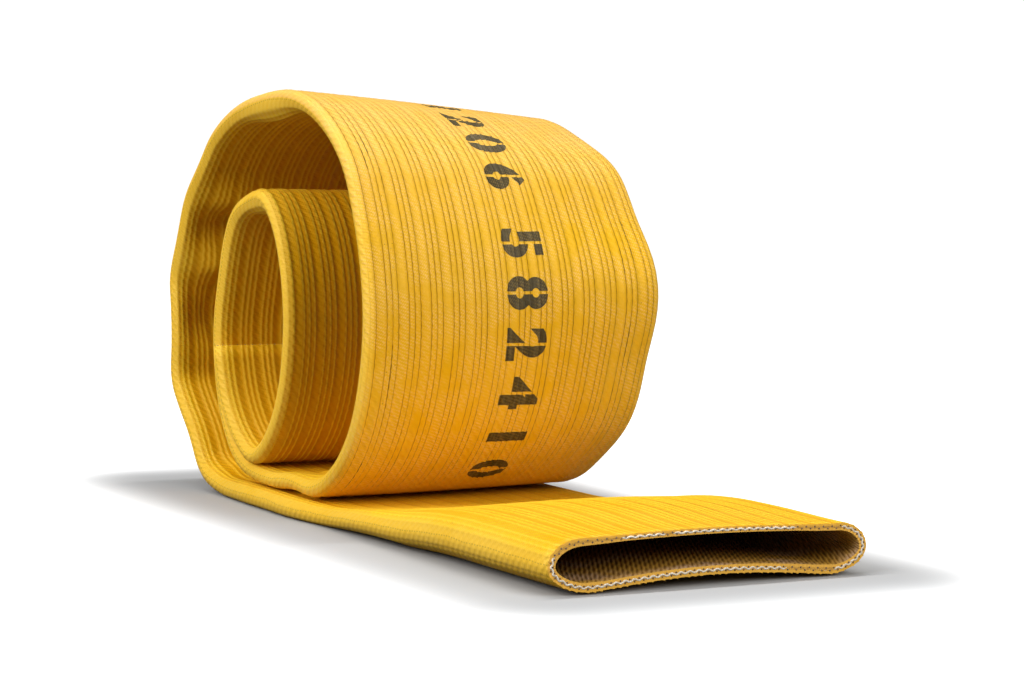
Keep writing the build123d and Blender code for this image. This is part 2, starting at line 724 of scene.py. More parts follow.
def sum_node(tree, operation, *values):
    """The result of a Math node."""
    return add_node(tree, "ShaderNodeMath", dict(enumerate(values)), operation=operation).outputs[0]


def ramp(tree, value, low, high, from_value=0.0, to_value=1.0):
    """A smooth change from one value to another as the input goes from low to high."""
    node = add_node(
        tree, "ShaderNodeMapRange", {0: value, 1: low, 2: high, 3: from_value, 4: to_value},
        interpolation_type="SMOOTHSTEP",
    )
    return node.outputs[0]


def fade(tree, value, low, high):
    """1 up to low, falling smoothly to 0 at high."""
    return ramp(tree, value, low, high, 1.0, 0.0)


def mix_colour(tree, share, first, second):
    """The second colour over the first, by a mask."""
    inputs = {0: share, 6: first, 7: second}
    return add_node(tree, "ShaderNodeMix", inputs, data_type="RGBA").outputs[2]


def noise(tree, place, scale, detail=3.0):
    """Soft noise between 0 and 1."""
    inputs = {"Vector": place, "Scale": scale, "Detail": detail, "Roughness": 0.5}
    return add_node(tree, "ShaderNodeTexNoise", inputs).outputs[0]


def bump(tree, shader, height, distance):
    """Bends the shader's normal as if the surface rose by this height times the distance."""
    node = add_node(tree, "ShaderNodeBump", {"Height": height, "Distance": distance})
    tree.links.new(node.outputs[0], shader.inputs["Normal"])


# %% Groups and materials
def new_group(name, inputs, outputs):
    """A shader node group with named inputs and outputs, and the sockets inside it."""
    group = bpy.data.node_groups.new(name, "ShaderNodeTree")
    kinds = {"vector": "NodeSocketVector", "value": "NodeSocketFloat"}
    for socket, kind in inputs.items():
        group.interface.new_socket(name=socket, in_out="INPUT", socket_type=kinds[kind])
    for socket in outputs:
        group.interface.new_socket(name=socket, in_out="OUTPUT", socket_type=kinds["value"])
    entry = group.nodes.new("NodeGroupInput")
    result = group.nodes.new("NodeGroupOutput")
    return group, entry.outputs, result.inputs


def put_group(tree, group, inputs):
    """Places a group in a material and gives its sockets back."""
    return add_node(tree, "ShaderNodeGroup", inputs, node_tree=group).outputs


def new_material(name, roughness, specular):
    """A material with a Principled BSDF, and its tree."""
    material = bpy.data.materials.new(name)
    material.use_nodes = True
    shader = material.node_tree.nodes["Principled BSDF"]
    shader.inputs["Roughness"].default_value = roughness
    shader.inputs["Specular IOR Level"].default_value = specular
    return material, material.node_tree, shader


# %% [markdown]
# ### Ribs and their lines
#
# Dirt and painted shade make a fine dark line at the steep foot of each rib, which wavers with the
# weave under it. The group finds the rib that a spot belongs to, and how far from its crest the
# spot is. From that it gives a mask for the line and one for the crest, where a highlight is
# painted.

# %% Rib lines
# how far past a rib's crest the line and the crest's painted highlight lie, and their reach to
# each side
line_offset, crest_offset = 0.0003, -0.0001
line_full, line_gone = 0.00008, 0.00027
crest_full, crest_gone = 0.0001, 0.0006
# how far the line wavers, and the length of one wave
waver, waver_length = 0.00007, 0.0033


def make_rib_lines():
    """Masks for the dark line at the foot of each rib, and for its crest."""
    tree, entry, result = new_group("rib_lines", {"Map": "vector"}, ("Line", "Crest"))
    maths = partial(sum_node, tree)
    split = add_node(tree, "ShaderNodeSeparateXYZ", {0: entry["Map"]})
    along, around = split.outputs[0], split.outputs[1]
    waves = maths("SINE", maths("MULTIPLY", along, 2 * math.pi / waver_length))
    around = maths("ADD", around, maths("MULTIPLY", waves, waver))
    before_first = group_pitch / 2 - rib_pitch
    shifted = maths("ADD", around, before_first - first_rib)
    in_group = maths("FLOORED_MODULO", shifted, group_pitch)
    counted = maths("DIVIDE", maths("SUBTRACT", in_group, before_first), rib_pitch)
    number = maths("MAXIMUM", maths("ROUND", counted), 0.0)
    number = maths("MINIMUM", number, ribs_per_group - 1.0)
    from_crest = maths("MULTIPLY", maths("SUBTRACT", counted, number), rib_pitch)
    from_line = maths("ABSOLUTE", maths("SUBTRACT", from_crest, line_offset))
    tree.links.new(fade(tree, from_line, line_full, line_gone), result["Line"])
    from_top = maths("ABSOLUTE", maths("SUBTRACT", from_crest, crest_offset))
    tree.links.new(fade(tree, from_top, crest_full, crest_gone), result["Crest"])
    return tree


rib_lines = make_rib_lines()
print(rib_lines.name, "has", len(rib_lines.nodes), "nodes")

# %% [markdown]
# ### The weave that shows through
#
# The jacket's twill prints through the rubber as slanting ridges crossed by the weft picks, with
# finer knots over them. Three sine waves give the height, so the print repeats as evenly as a
# loom does, and soft noise then picks the patches where its high spots have been rubbed.

# %% Weave print
twill_count = 78
twill_round = 2 * half_round / twill_count
twill_along, pick_along = 0.00326, 0.00163
twill_rise, pick_rise, knot_rise = 0.26, 0.12, 0.14
knot_slant, knot_pace, knot_rows = 1.2, 3.0, 2.0
# heights of the weave and of its knots between which the rubbing sets in, and where it does
rubbed_weave, rubbed_knots, rubbed_patches = (0.55, 0.9), (0.15, 0.6), (0.34, 0.6)
patch_scale = 110.0


def make_weave_print():
    """The height of the weave's print, and a mask for its rubbed high spots."""
    tree, entry, result = new_group("weave_print", {"Map": "vector"}, ("Height", "Rubbed"))
    maths = partial(sum_node, tree)
    split = add_node(tree, "ShaderNodeSeparateXYZ", {0: entry["Map"]})
    along, around = split.outputs[0], split.outputs[1]
    turn_round = maths("MULTIPLY", around, 2 * math.pi / twill_round)
    turn_along = maths("MULTIPLY", along, 2 * math.pi / twill_along)
    twill = maths("SINE", maths("SUBTRACT", turn_round, turn_along))
    picks = maths("COSINE", maths("MULTIPLY", along, 2 * math.pi / pick_along))
    crossed = maths("MULTIPLY_ADD", maths("MULTIPLY", twill, picks), pick_rise, 0.5)
    height = maths("MULTIPLY_ADD", twill, twill_rise, crossed)
    slant = maths("MULTIPLY_ADD", turn_round, knot_slant, maths("MULTIPLY", turn_along, knot_pace))
    rows = maths("SINE", maths("MULTIPLY", turn_round, knot_rows))
    knots = maths("MULTIPLY", maths("SINE", slant), rows)
    height = maths("MULTIPLY_ADD", knots, knot_rise, height)
    tree.links.new(height, result["Height"])
    high = maths("MAXIMUM", ramp(tree, height, *rubbed_weave), ramp(tree, knots, *rubbed_knots))
    patch = ramp(tree, noise(tree, entry["Map"], patch_scale), *rubbed_patches)
    tree.links.new(maths("MULTIPLY", high, patch), result["Rubbed"])
    return tree


weave_print = make_weave_print()
print(weave_print.name, "has", len(weave_print.nodes), "nodes")

# %% [markdown]
# ### Where the hose is worn
#
# At its two folds the flat hose rubs on everything, so the rubber there is paler, with a dirty
# dotted seam along it and dark flecks beside it. How worn, dirty or fresh the rest is, and where
# shade and sheen are painted on it, depend on which stretch of the hose it is, and which side. One
# group gives a mask for each of these.

# %% Fold wear
# distances from a fold where a mask is whole and where it has gone
fold_band, near_band = (0.0026, 0.0056), (0.004, 0.016)
grime_starts, grime_ends = (0.0065, 0.009), (0.011, 0.018)
# the painted shade fades in over these distances from a fold
painted_shade_band = (0.004, 0.010)
seam_band, seam_offset = (0.0001, 0.0003), 0.0002
seam_wander, seam_wander_scale = 0.0016, 60.0
# the length of a stitch, and how soft its ends are
stitch_length, stitch_ends = 0.0016, (-0.9, 0.4)
# distances along the hose where the outer turn, its top with painted sheen and fading, and the
# inner loop start or end
turn_starts, turn_ends = (0.235, 0.255), (0.640, 0.670)
top_starts, top_ends = (0.36, 0.44), (0.47, 0.54)
loop_starts = (0.660, 0.700)
# the painted shade is weaker on the tail, up to here
painted_shade_starts, painted_shade_on_tail = (0.245, 0.285), 0.75
cut_band = (0.00002, 0.00008)


def link_fold_masks(tree, entry, result, along, around):
    """The masks that follow the two folds. Gives the distance from the nearer fold back."""
    maths = partial(sum_node, tree)
    place = maths("FLOORED_MODULO", maths("ADD", around, half_round / 2), half_round)
    from_fold = maths("SUBTRACT", place, half_round / 2)
    far = maths("ABSOLUTE", from_fold)
    tree.links.new(fade(tree, far, *fold_band), result["Fold"])
    tree.links.new(fade(tree, far, *near_band), result["Near"])
    grimy = maths("MULTIPLY", ramp(tree, far, *grime_starts), fade(tree, far, *grime_ends))
    tree.links.new(grimy, result["Grimy"])
    wandering = noise(tree, entry["Map"], seam_wander_scale, detail=2.0)
    seam = maths("MULTIPLY_ADD", wandering, seam_wander, maths("SUBTRACT", from_fold, seam_offset))
    seam = fade(tree, maths("ABSOLUTE", seam), *seam_band)
    dashes = maths("SINE", maths("MULTIPLY", along, 2 * math.pi / stitch_length))
    stitches = maths("MULTIPLY", seam, ramp(tree, dashes, *stitch_ends))
    tree.links.new(stitches, result["Stitch"])
    return far


def make_fold_wear():
    """Masks for the folds, the stretches and the sides of the hose, and its cut faces."""
    names = ("Fold", "Near", "Grimy", "Stitch", "Outer", "Loop", "PaintedShade", "Top", "Cut")
    tree, entry, result = new_group("fold_wear", {"Map": "vector"}, names)
    maths = partial(sum_node, tree)
    split = add_node(tree, "ShaderNodeSeparateXYZ", {0: entry["Map"]})
    along, around = split.outputs[0], split.outputs[1]
    far = link_fold_masks(tree, entry, result, along, around)
    outside = maths("LESS_THAN", maths("FLOORED_MODULO", around, 2 * half_round), half_round)
    on_turn = maths("MULTIPLY", ramp(tree, along, *turn_starts), fade(tree, along, *turn_ends))
    outer = maths("MULTIPLY", outside, on_turn)
    tree.links.new(outer, result["Outer"])
    tree.links.new(maths("MULTIPLY", outside, ramp(tree, along, *loop_starts)), result["Loop"])
    # painted shade: every side but the outer face of the outer turn, weaker on the tail and at the
    # folds
    deep = maths("SUBTRACT", 1.0, outer)
    deep = maths("MULTIPLY", deep, ramp(tree, along, *painted_shade_starts, painted_shade_on_tail, 1.0))
    tree.links.new(maths("MULTIPLY", deep, ramp(tree, far, *painted_shade_band)), result["PaintedShade"])
    on_top = maths("MULTIPLY", ramp(tree, along, *top_starts), fade(tree, along, *top_ends))
    tree.links.new(maths("MULTIPLY", outside, on_top), result["Top"])
    from_cut = maths("MINIMUM", along, maths("SUBTRACT", hose_length, along))
    tree.links.new(fade(tree, from_cut, *cut_band), result["Cut"])
    return tree


fold_wear = make_fold_wear()
print(fold_wear.name, "has", len(fold_wear.nodes), "nodes")

# %% [markdown]
# ### Specks
#
# Grit and small marks: the middles of Voronoi cells make round dark spots, and noise that is cut
# off high leaves only a few of them.

# %% Specks
chosen_scale = 160.0
speck_edge = (0.08, 0.2)


def make_specks():
    """Sparse round spots of a size and a rarity that each material sets."""
    inputs = {"Place": "vector", "Size": "value", "Cut": "value"}
    tree, entry, result = new_group("specks", inputs, ("Speck",))
    maths = partial(sum_node, tree)
    cells = {"Vector": entry["Place"], "Scale": entry["Size"]}
    middles = add_node(tree, "ShaderNodeTexVoronoi", cells).outputs["Distance"]
    choice = noise(tree, entry["Place"], chosen_scale, detail=2.0)
    chosen = maths("GREATER_THAN", choice, entry["Cut"])
    speck = maths("MULTIPLY", fade(tree, middles, *speck_edge), chosen)
    tree.links.new(speck, result["Speck"])
    return tree


specks = make_specks()
print(specks.name, "has", len(specks.nodes), "nodes")

# %% [markdown]
# ### The cover's rubber
#
# One yellow would look like plastic. The rubber is painted darker, as shade, where it is sheltered,
# chalky where the weave and the folds have rubbed, paler over the top of the roll with painted
# sheen and fading, dark in the grooves with dirt and painted shade, and dirty beside the folds. So
# the colour is built in that order, each layer mixed over the last by the masks from above: rubber
# and painted shade, wear and painted highlights, then dirt and painted shade.

# %% Colours of the cover
new_yellow = (0.80, 0.43, 0.001, 1)
worn_yellow = (0.90, 0.55, 0.050, 1)
# painted highlight for the crests of ribs that lie in the shade
crest_highlight_yellow = (0.95, 0.65, 0.045, 1)
# paler rubber: faded high spots, and painted sheen and fading over the top of the roll
faded_and_sheen_yellow = (0.88, 0.52, 0.15, 1)
# painted shade for the sheltered sides of the roll and, less, for the tail
painted_shade_yellow = (0.70, 0.34, 0.0005, 1)
cut_ochre = (0.88, 0.47, 0.06, 1)
# the dark line at each rib's steep foot: dirt and painted shade
groove_dirt_and_shade_brown = (0.40, 0.19, 0.002, 1)
grit_brown = (0.045, 0.022, 0.004, 1)
grit_size, grit_rarity = 900.0, 0.6
# how far noise is stretched across the hose, so that it streaks along the ribs
streaks = {"Scale": (40, 900, 1)}
soot_streaks = {"Scale": (45, 420, 1), "Location": (3.1, 0.7, 0)}
# the yellow of the painted shade, and the yellow of the crests' painted highlight
print("rubber from", painted_shade_yellow[:3], "where deep to", crest_highlight_yellow[:3], "on bright crests")

# %% Wear, dirt, painted shade and painted highlights of the cover
# how chalky the clouds, the weave's high spots and the folds are, and how much less so in the
# painted shade
chalk_sets_in, chalk_in_clouds = (0.35, 0.75), 0.35
chalk_on_weave, chalk_on_folds, chalk_lost_in_painted_shade = 0.5, 0.6, 0.8
# how faded the high spots of the outer turn are, and how pale its top is with painted sheen and
# fading
faded_on_weave, sheen_and_fading_on_top = 0.5, 0.45
# how strong the painted highlight is on crests that lie sheltered, how much more so in the loop,
# and how much less in the painted shade
crest_highlight_share, crest_highlight_in_loop, crest_highlight_lost_in_shade = 0.65, 0.7, 0.35
# how dark with dirt and painted shade the loop's grooves are beside the outer turn's, and the
# range that streaks give both
loop_dirt_and_shade, groove_streaks, groove_dirt_and_shade = 0.12, (0.3, 0.65), (0.5, 0.95)
# soot and grit gather in the grimy bands beside the folds, and there is a little elsewhere
soot_sets_in, soot_in_bands, soot_elsewhere = (0.53, 0.6), 0.85, 0.08
grit_in_bands, grit_elsewhere, stitch_dirt = 0.7, 0.12, 0.3


def streaky_noise(tree, hose_map, stretch):
    """Noise drawn out along the hose."""
    streaked = add_node(tree, "ShaderNodeMapping", {0: hose_map, **stretch}).outputs[0]
    return noise(tree, streaked, 1.0)


def worn_rubber(tree, lines, weave, folds, off_fold, cloudy):
    """Rubber with painted shade, chalk, fading and a painted sheen on top, and painted crest
    highlights.
    """
    maths = partial(sum_node, tree)
    chalk = maths("MULTIPLY", ramp(tree, cloudy, *chalk_sets_in), chalk_in_clouds)
    chalk = maths("MULTIPLY_ADD", weave["Rubbed"], chalk_on_weave, chalk)
    chalk = maths("MULTIPLY", chalk, maths("MULTIPLY_ADD", folds["PaintedShade"], -chalk_lost_in_painted_shade, 1.0))
    chalk = maths("MINIMUM", maths("MULTIPLY_ADD", folds["Fold"], chalk_on_folds, chalk), 1.0)
    # painted shade mixed over the new rubber
    colour = mix_colour(tree, folds["PaintedShade"], new_yellow, painted_shade_yellow)
    colour = mix_colour(tree, chalk, colour, worn_yellow)
    faded_and_sheen = maths("MULTIPLY", maths("MULTIPLY", weave["Rubbed"], folds["Outer"]), faded_on_weave)
    # painted sheen and fading over the top of the roll
    faded_and_sheen = maths("MULTIPLY_ADD", folds["Top"], sheen_and_fading_on_top, faded_and_sheen)
    colour = mix_colour(tree, faded_and_sheen, colour, faded_and_sheen_yellow)
    # painted highlight on the crests on every side but the outer face of the outer turn
    sheltered = maths("MULTIPLY", maths("SUBTRACT", 1.0, folds["Outer"]), off_fold)
    crests = maths("MULTIPLY", lines["Crest"], sheltered)
    crest_highlight = maths("MULTIPLY_ADD", folds["Loop"], crest_highlight_in_loop, crest_highlight_share)
    crest_highlight = maths("MULTIPLY_ADD", folds["PaintedShade"], -crest_highlight_lost_in_shade, crest_highlight)
    return mix_colour(tree, maths("MULTIPLY", crests, crest_highlight), colour, crest_highlight_yellow)


def dirt_and_shade_over(tree, colour, lines, folds, off_fold, streaky, sooty, speck):
    """Brown in the grooves, dirt and painted shade, then soot, grit and the dotted seam, all nearly
    black.
    """
    maths = partial(sum_node, tree)
    # dirt and painted shade in the grooves, on the outer turn and a little in the loop
    dirt_and_shade = maths("MULTIPLY_ADD", folds["Loop"], loop_dirt_and_shade, folds["Outer"])
    dirt_and_shade = maths("MULTIPLY", dirt_and_shade, off_fold)
    grooves = ramp(tree, streaky, *groove_streaks, *groove_dirt_and_shade)
    grooves = maths("MULTIPLY", lines["Line"], grooves)
    colour = mix_colour(tree, maths("MULTIPLY", grooves, dirt_and_shade), colour, groove_dirt_and_shade_brown)
    soot = maths("MULTIPLY", lines["Line"], folds["Outer"])
    soot = maths("MULTIPLY", ramp(tree, sooty, *soot_sets_in), soot)
    gathered = maths("MULTIPLY_ADD", folds["Grimy"], soot_in_bands, soot_elsewhere)
    soot = maths("MULTIPLY", soot, gathered)
    grit = maths("MULTIPLY", folds["Grimy"], folds["Outer"])
    grit = maths("MULTIPLY_ADD", grit, grit_in_bands, grit_elsewhere)
    grit = maths("MAXIMUM", soot, maths("MULTIPLY", speck, grit))
    grit = maths("MAXIMUM", grit, maths("MULTIPLY", folds["Stitch"], stitch_dirt))
    return mix_colour(tree, grit, colour, grit_brown)


# %% Cover rubber
clouds_scale, grain_scale, grain_rise = 26.0, 2600.0, 0.2
print_relief, print_rise, more_rise_near_fold = 0.00018, 0.9, 0.45
roughness_least, roughness_of_clouds = 0.36, 0.25
# how much of the ribs' lines and crests is rubbed away at the folds
lost_at_fold = 0.9


def make_cover_rubber(name):
    """The cover's rubber. Gives the colour and masks back too, for the ink to build on."""
    material, tree, shader = new_material(name, roughness=0.5, specular=0.22)
    maths = partial(sum_node, tree)
    hose_map = add_node(tree, "ShaderNodeUVMap", uv_map="hose_map").outputs[0]
    place = add_node(tree, "ShaderNodeTexCoord").outputs["Object"]
    lines = put_group(tree, rib_lines, {"Map": hose_map})
    weave = put_group(tree, weave_print, {"Map": hose_map})
    folds = put_group(tree, fold_wear, {"Map": hose_map})
    grit = put_group(tree, specks, {"Place": place, "Size": grit_size, "Cut": grit_rarity})
    cloudy = noise(tree, place, clouds_scale, detail=4.0)
    streaky = streaky_noise(tree, hose_map, streaks)
    sooty = streaky_noise(tree, hose_map, soot_streaks)
    off_fold = maths("MULTIPLY_ADD", folds["Fold"], -lost_at_fold, 1.0)
    colour = worn_rubber(tree, lines, weave, folds, off_fold, cloudy)
    colour = dirt_and_shade_over(tree, colour, lines, folds, off_fold, streaky, sooty, grit["Speck"])
    colour = mix_colour(tree, folds["Cut"], colour, cut_ochre)
    tree.links.new(colour, shader.inputs["Base Color"])
    rough = maths("MULTIPLY_ADD", cloudy, roughness_of_clouds, roughness_least)
    tree.links.new(rough, shader.inputs["Roughness"])
    rise = maths("MULTIPLY_ADD", folds["Near"], more_rise_near_fold, print_rise)
    height = maths("MULTIPLY", weave["Height"], rise)
    grain = noise(tree, place, grain_scale, detail=2.0)
    bump(tree, shader, maths("MULTIPLY_ADD", grain, grain_rise, height), print_relief)
    return material, tree, shader, colour, lines, weave, streaky


cover_rubber = make_cover_rubber("cover_rubber")[0]
print(cover_rubber.name, "has", len(cover_rubber.node_tree.nodes), "nodes")

# %% [markdown]
# ### The ink of the number
#
# Stencil ink is thin and sits on the same rubber, so its material starts as the cover's own and
# only changes the colour: ink that is thick or thin in streaks, darker in the grooves, and worn
# off the weave's high spots so that the yellow shows.

# %% Number ink
thick_ink, thin_ink = (0.032, 0.027, 0.011, 1), (0.080, 0.066, 0.032, 1)
groove_ink = (0.018, 0.012, 0.003, 1)
# the streaks that thin the ink, how dark its grooves are, and how worn it is, most on the weave
ink_streaks, ink_in_grooves = (0.35, 0.7), 0.6
ink_worn, ink_worn_on_weave = 0.03, 0.1


def make_number_ink():
    """Dull ink over the cover's rubber."""
    material, tree, shader, rubber, lines, weave, streaky = make_cover_rubber("number_ink")
    maths = partial(sum_node, tree)
    ink = mix_colour(tree, ramp(tree, streaky, *ink_streaks), thick_ink, thin_ink)
    ink = mix_colour(tree, maths("MULTIPLY", lines["Line"], ink_in_grooves), ink, groove_ink)
    worn = maths("MULTIPLY_ADD", weave["Rubbed"], ink_worn_on_weave, ink_worn)
    tree.links.new(mix_colour(tree, worn, ink, rubber), shader.inputs["Base Color"])
    return material


number_ink = make_number_ink()
print(number_ink.name, "has", len(number_ink.node_tree.nodes), "nodes")

# %% [markdown]
# ### Yarns
#
# The jacket's yarn is twisted polyester. It shows only at the two cuts, as pale weft and soiled
# warp. Fine noise stands for its strands, in the colour and as a bump. Under the cover the same
# yarn is soaked with rubber, so the wall between the yarn ends is ochre.

# %% Yarns
strand_scale, strand_relief, strand_edge = 3000.0, 0.00006, (0.35, 0.62)


def make_yarn(name, pale, dark):
    """Twisted yarn: fine pale strands, and darker yarn between them."""
    material, tree, shader = new_material(name, roughness=0.8, specular=0.2)
    place = add_node(tree, "ShaderNodeTexCoord").outputs["Object"]
    strands = noise(tree, place, strand_scale)
    colour = mix_colour(tree, ramp(tree, strands, *strand_edge), dark, pale)
    tree.links.new(colour, shader.inputs["Base Color"])
    bump(tree, shader, strands, strand_relief)
    return material


weft_yarn = make_yarn("weft_yarn", (0.93, 0.87, 0.74, 1), (0.60, 0.50, 0.36, 1))
warp_yarn = make_yarn("warp_yarn", (0.20, 0.13, 0.10, 1), (0.09, 0.06, 0.05, 1))
soaked_weft = make_yarn("soaked_weft", (0.76, 0.42, 0.08, 1), (0.52, 0.26, 0.05, 1))
soaked_warp = make_yarn("soaked_warp", (0.74, 0.41, 0.08, 1), (0.50, 0.25, 0.05, 1))
print("yarns", weft_yarn.name, warp_yarn.name, soaked_weft.name, soaked_warp.name)

# %% [markdown]
# ### The lining
#
# The inside of the bore is dull brown rubber pressed into the weave, so it has the twill's ridges
# too, crossed by the picks, with painted shade in their hollows and painted highlight on their
# ridges. Talc from the factory is left in patches.

# %% Lining
lining_hollow_and_shade, lining_ridge_and_highlight = (0.22, 0.105, 0.012, 1), (0.46, 0.24, 0.03, 1)
talc_grey, lining_ochre = (0.42, 0.30, 0.26, 1), (0.88, 0.47, 0.07, 1)
lining_twill_count, lining_pick, lining_relief = 152, 0.0032, 0.0003
# how much the ridges slant along the hose and the picks round it, and what each adds in height
ridge_slant, pick_slant, ridge_part, pick_part = 1.15, 0.5, 0.25, 0.16
# heights between which hollow turns to ridge, and talc goes from its least share to its most
ridge_edge, talc_edge, talc_share = (0.1, 0.7), (0.1, 0.9), (0.15, 0.6)
talc_scale, talc_patches = 60.0, (0.42, 0.68)


def make_lining():
    """The lining: dull brown rubber with the weave's ridges, painted shade and highlight, and talc.
    """
    material, tree, shader = new_material("lining_rubber", roughness=0.6, specular=0.25)
    maths = partial(sum_node, tree)
    hose_map = add_node(tree, "ShaderNodeUVMap", uv_map="hose_map").outputs[0]
    place = add_node(tree, "ShaderNodeTexCoord").outputs["Object"]
    folds = put_group(tree, fold_wear, {"Map": hose_map})
    split = add_node(tree, "ShaderNodeSeparateXYZ", {0: hose_map})
    along, around = split.outputs[0], split.outputs[1]
    turn_round = maths("MULTIPLY", around, 2 * math.pi * lining_twill_count / (2 * half_round))
    turn_along = maths("MULTIPLY", along, 2 * math.pi / lining_pick)
    ridges = maths("SINE", maths("MULTIPLY_ADD", turn_along, -ridge_slant, turn_round))
    picks = maths("SINE", maths("MULTIPLY_ADD", turn_round, -pick_slant, turn_along))
    height = maths("MULTIPLY_ADD", picks, pick_part, 0.5)
    height = maths("MULTIPLY_ADD", ridges, ridge_part, height)
    # painted shade in the hollows and painted highlight on the ridges
    rubber = mix_colour(tree, ramp(tree, height, *ridge_edge), lining_hollow_and_shade, lining_ridge_and_highlight)
    talc = ramp(tree, noise(tree, place, talc_scale, detail=4.0), *talc_patches)
    talc = maths("MULTIPLY", talc, ramp(tree, height, *talc_edge, *talc_share))
    colour = mix_colour(tree, talc, rubber, talc_grey)
    colour = mix_colour(tree, folds["Cut"], colour, lining_ochre)
    tree.links.new(colour, shader.inputs["Base Color"])
    bump(tree, shader, height, lining_relief)
    return material


lining_rubber = make_lining()
print("materials", sorted(material.name for material in bpy.data.materials))

# %% [markdown]
# ## The cut ends
#
# On both cut faces the weft shows as one white zigzag of yarn between the cover and the lining,
# and the warp as a grey dot in each of its bends. The zigzag is one closed NURBS curve with a
# round bevel, and the dots are small icospheres. The cut took some stretches shorter, so the
# yarn there lies below the face.

# %% Cut ends
yarn_thick = 0.00058
yarn_swing = 0.00056
yarn_turns = 76
cut_middle = 0.00153
# stretches round the cut, in metres from the near fold, where the weft lies below the face
sunk_stretches = ((0.079, 0.098), (0.123, 0.142), (0.178, 0.184), (0.194, 0.220))
sunk_by, sunk_slope = 0.00042, 0.002
# waves round the cut in which the yarn stands out more and less, by this much each
proud_waves, proud_by = (5, 8, 13), 0.00005
# the warp's dots
dot_radius, dot_proud, dot_swing = 0.00030, 0.00002, 0.75


def yarn_places(station, ahead, swing, proud):
    """A place on a cut face for each bend of the zigzag, standing proud of it by these amounts."""
    return hose_places(station + ahead * proud, yarn_bends, cut_middle + swing)


def proud_of_cut(around, seed):
    """How far the yarn stands out of the cut, waving slowly round the hose."""
    draw = np.random.default_rng(seed)
    proud = np.zeros_like(around)
    for waves in proud_waves:
        phase = draw.uniform(0, 2 * math.pi)
        proud += proud_by * np.sin(waves * around * math.pi / half_round + phase)
    for start, stop in sunk_stretches:
        inside = smooth_step((around - start) / sunk_slope)
        inside = inside * smooth_step((stop - around) / sunk_slope)
        proud -= sunk_by * inside
    return proud + draw.normal(0, proud_by, around.shape)


yarn_bends = np.arange(2 * yarn_turns) * half_round / yarn_turns
inner_bend = np.arange(2 * yarn_turns) % 2 == 1
print(len(yarn_bends), "bends round a cut,", round(half_round / yarn_turns * 1000, 2), "mm apart")


# %% Weft zigzag and warp dots
def add_weft_zigzag(bm, station, ahead, seed):
    """The weft's zigzag as one closed yarn, joined to the bmesh."""
    swing = np.where(inner_bend, yarn_swing, -yarn_swing)
    places = yarn_places(station, ahead, swing, proud_of_cut(yarn_bends, seed))
    curve = bpy.data.curves.new("weft_zigzag", "CURVE")
    curve.dimensions = "3D"
    curve.resolution_u = 4
    curve.bevel_depth = yarn_thick / 2
    curve.bevel_resolution = 2
    spline = curve.splines.new("NURBS")
    spline.points.add(len(places) - 1)
    for point, place in zip(spline.points, places):
        point.co = (*place, 1)
    spline.order_u = 3
    spline.use_cyclic_u = True
    mesh = mesh_of(curve)
    bm.from_mesh(mesh)
    bpy.data.meshes.remove(mesh)


def add_warp_ends(bm, station, ahead):
    """The cut ends of the warp, one in each bend of the zigzag."""
    swing = np.where(inner_bend, -yarn_swing, yarn_swing) * dot_swing
    proud = np.full_like(yarn_bends, dot_proud)
    for place in yarn_places(station, ahead, swing, proud):
        spot = Matrix.Translation(Vector(place))
        bmesh.ops.create_icosphere(bm, subdivisions=1, radius=dot_radius, matrix=spot)


# %% [markdown]
# ## The four layers
#
# From outside to inside: the cover, the weft, the warp and the lining. Each stands for the packed
# solid of its layer, and the yarn ends lie on the two cut faces. A cut is given as a distance along
# the hose and the way its face looks: -1 back towards the mouth's outside, 1 past the far end.

# %% Cover, weft and warp
cover = finished_piece(ribbed_tube(), "ribbed_cover", cover_rubber)
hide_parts("outer_cover")

weft_tube = smooth_tube(weft_depth, warp_depth - bond_line)
weft = finished_piece(weft_tube, "weft_layer", soaked_weft)
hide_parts("jacket_weft")

warp_tube = smooth_tube(warp_depth, lining_depth - bond_line)
warp = finished_piece(warp_tube, "warp_layer", soaked_warp)
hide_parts("jacket_warp")

# %% Yarn ends
zigzag_bm = bmesh.new()
add_weft_zigzag(zigzag_bm, 0.0, -1, seed=3)
add_weft_zigzag(zigzag_bm, hose_length, 1, seed=4)
zigzag = finished_piece(zigzag_bm, "weft_ends", weft_yarn)

warp_ends_bm = bmesh.new()
add_warp_ends(warp_ends_bm, 0.0, -1)
add_warp_ends(warp_ends_bm, hose_length, 1)
for face in warp_ends_bm.faces:
    face.smooth = True
warp_ends = finished_piece(warp_ends_bm, "warp_ends", warp_yarn)

# %% Lining tube
lining_tube = smooth_tube(lining_depth, wall)
lining = finished_piece(lining_tube, "rubber_lining", lining_rubber)
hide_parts("inner_lining")

# %% [markdown]
# ## The number
#
# A plain stencilled number runs along the outer face, over the top of the roll and down its front.
# Each digit is built flat, as (along, across), from Blender's own font. A band through its middle
# is cut out for the stencil's bridge, and then it is cut along every ring and column of the cover,
# so that it bends exactly as the rubber under it does.

# %% Digits
# the digits, where along the hose the first one's middle is, and the pitch between them
number_groups = (("1206", 0.4615, 0.0160), ("582410", 0.5339, 0.0163))
digit_height, digit_stretch = 0.0150, 1.08
number_off_centre = 0.004
number_middle = half_round / 2 + number_off_centre
bridge_width = 0.0010
ink_proud, ink_sunk = 0.00006, 0.00015
crisp_edge = math.radians(35)
# in the font's own units: how far its outline is fattened, and what counts as touching
digit_fattened, digit_touching = 0.036, 1e-4
cut_touching, cut_margin = 1e-6, 1e-3


